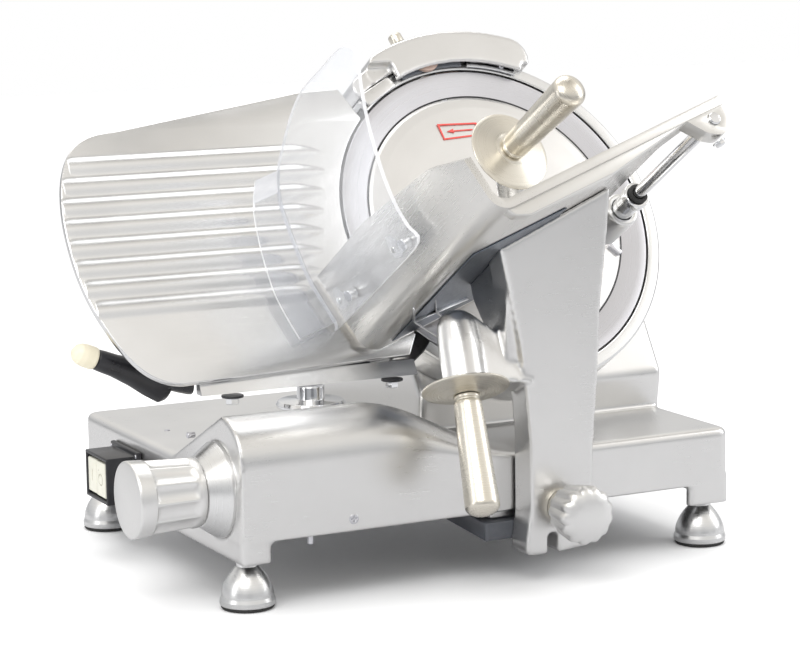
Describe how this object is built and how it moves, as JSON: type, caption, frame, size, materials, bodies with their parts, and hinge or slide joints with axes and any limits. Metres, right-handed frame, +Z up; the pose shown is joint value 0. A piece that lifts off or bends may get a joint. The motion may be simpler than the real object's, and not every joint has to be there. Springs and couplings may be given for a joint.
{
  "type": "deli meat slicer",
  "caption": "Gravity-feed deli slicer with a slanted round blade, sliding carriage and tray, clear hand guard, swinging pusher, ribbed thickness gauge plate and cast base on feet.",
  "frame": {"origin": "centre of the machine's footprint, on the surface the feet stand on", "axes": "+X along the carriage's travel, to the operator's right; +Y away from the operator; +Z up"},
  "size_m": [0.5805, 0.5243, 0.4575],
  "materials": {
    "cast_aluminium": "cast, satin polished",
    "polished_aluminium": "polished",
    "blade_steel": "ground",
    "chrome": "bright",
    "nickel": "satin nickel",
    "black_plastic": "fine texture",
    "pale_plastic": "smooth",
    "clear_plastic": "clear sheet",
    "rubber": "matt",
    "stone": "abrasive",
    "painted_steel": "satin"
  },
  "bodies": {
    "frame": {"base_casting": "cast_aluminium", "foot_1": "polished_aluminium", "foot_2": "polished_aluminium", "foot_3": "polished_aluminium", "foot_4": "polished_aluminium", "bottom_cover": "blade_steel", "rear_cover": "blade_steel", "ring_guard": "cast_aluminium", "blade_cover": "polished_aluminium", "blade_bearing_1": "blade_steel", "blade_bearing_2": "blade_steel", "motor": "painted_steel", "motor_bracket": "painted_steel", "drive_belt": "rubber", "cord_gland": "black_plastic", "switch_housing": "black_plastic", "gauge_guide_rod": "blade_steel", "slide_rod": "chrome", "guide_bar": "blade_steel"},
    "blade_rotor": {"blade": "blade_steel", "blade_shaft": "blade_steel", "blade_pulley": "cast_aluminium"},
    "motor_rotor": {"motor_shaft": "blade_steel", "motor_pulley": "blade_steel"},
    "tie": {"tie_rod": "blade_steel", "tie_knob": "black_plastic"},
    "start_button": {"start_button": "pale_plastic"},
    "stop_button": {"stop_button": "black_plastic"},
    "thickness_knob": {"index_knob": "polished_aluminium", "dial_ring": "polished_aluminium", "index_shaft": "blade_steel", "index_cam": "blade_steel"},
    "gauge": {"gauge_plate": "polished_aluminium", "gauge_bracket": "cast_aluminium", "gauge_post": "chrome", "gauge_slide": "cast_aluminium", "gauge_lever": "black_plastic", "lever_cap": "nickel"},
    "carriage": {"slide_block": "cast_aluminium", "foot_plate": "painted_steel", "arm": "cast_aluminium", "carriage_tray": "cast_aluminium", "hand_guard": "clear_plastic", "guard_bolt_1": "blade_steel", "guard_bolt_2": "blade_steel", "handle_flange": "nickel", "handle_grip": "nickel", "pusher_rod": "chrome"},
    "lock": {"lock_knob": "polished_aluminium", "lock_stud": "blade_steel", "lock_collar": "blade_steel"},
    "sleeve": {"rod_sleeve": "chrome", "sleeve_seal": "rubber"},
    "pusher": {"pusher_plate": "cast_aluminium", "pusher_flange": "nickel", "pusher_grip": "nickel"},
    "sharpener": {"sharpener_housing": "cast_aluminium"},
    "sharpener_knob": {"sharpener_knob": "blade_steel"},
    "grinding_stone": {"grinding_stone": "stone"},
    "deburring_stone": {"deburring_stone": "stone"}
  },
  "joints": [
    {"name": "blade_spin", "type": "hinge", "parent": "frame", "child": "blade_rotor", "pos_m": [0.1267, 0.04396, 0.28333], "axis": [0, -0.8517, 0.524], "continuous": true},
    {"name": "motor_spin", "type": "hinge", "parent": "frame", "child": "motor_rotor", "pos_m": [0.1467, 0.04784, 0.16941], "axis": [0, -0.8517, 0.524], "continuous": true},
    {"name": "cover_knob_turn", "type": "hinge", "parent": "frame", "child": "tie", "pos_m": [0.1267, 0.20835, 0.1822], "axis": [0, 0.8517, -0.524], "range_deg": [0, 330]},
    {"name": "start_press", "type": "slide", "parent": "frame", "child": "start_button", "axis": [1, 0, 0], "range_m": [0, 0.0025], "stiffness_N_per_m": 400, "springref_m": -0.002},
    {"name": "stop_press", "type": "slide", "parent": "frame", "child": "stop_button", "axis": [1, 0, 0], "range_m": [0, 0.0025], "stiffness_N_per_m": 400, "springref_m": -0.002},
    {"name": "gauge_slide", "type": "slide", "parent": "frame", "child": "gauge", "axis": [0, 1, 0], "range_m": [0, 0.016]},
    {"name": "thickness_turn", "type": "hinge", "parent": "frame", "child": "thickness_knob", "pos_m": [-0.2463, -0.071, 0.094], "axis": [1, 0, 0], "range_deg": [0, 320]},
    {"name": "carriage_slide", "type": "slide", "parent": "frame", "child": "carriage", "axis": [1, 0, 0], "range_m": [-0.185, 0.112]},
    {"name": "lock_turn", "type": "hinge", "parent": "carriage", "child": "lock", "pos_m": [0.0797, -0.179, 0.064], "axis": [0, -1, 0], "range_deg": [0, 330]},
    {"name": "pusher_slide", "type": "slide", "parent": "carriage", "child": "sleeve", "axis": [0, -0.8517, 0.524], "range_m": [-0.045, 0.06]},
    {"name": "pusher_swing", "type": "hinge", "parent": "sleeve", "child": "pusher", "pos_m": [0.18287, -0.07383, 0.29606], "axis": [0, 0.8517, -0.524], "range_deg": [0, 85]},
    {"name": "sharpener_lift", "type": "slide", "parent": "frame", "child": "sharpener", "axis": [0, 0.524, 0.8517], "range_m": [0, 0.02]},
    {"name": "sharpener_knob_turn", "type": "hinge", "parent": "sharpener", "child": "sharpener_knob", "pos_m": [0.08073, 0.14141, 0.43983], "axis": [-0.2419, 0.5084, 0.8264], "range_deg": [0, 330]},
    {"name": "grinding_spin", "type": "hinge", "parent": "sharpener", "child": "grinding_stone", "pos_m": [0.1267, 0.13324, 0.42272], "axis": [0, -0.8517, 0.524], "continuous": true},
    {"name": "deburring_spin", "type": "hinge", "parent": "sharpener", "child": "deburring_stone", "pos_m": [0.09512, 0.11887, 0.42799], "axis": [0, -0.8517, 0.524], "continuous": true}
  ],
  "couplings": [
    {"joint": "motor_spin", "follows": "blade_spin", "ratio": 3.1333},
    {"joint": "thickness_turn", "follows": "gauge_slide", "rad_per_m": 349.05}
  ]
}
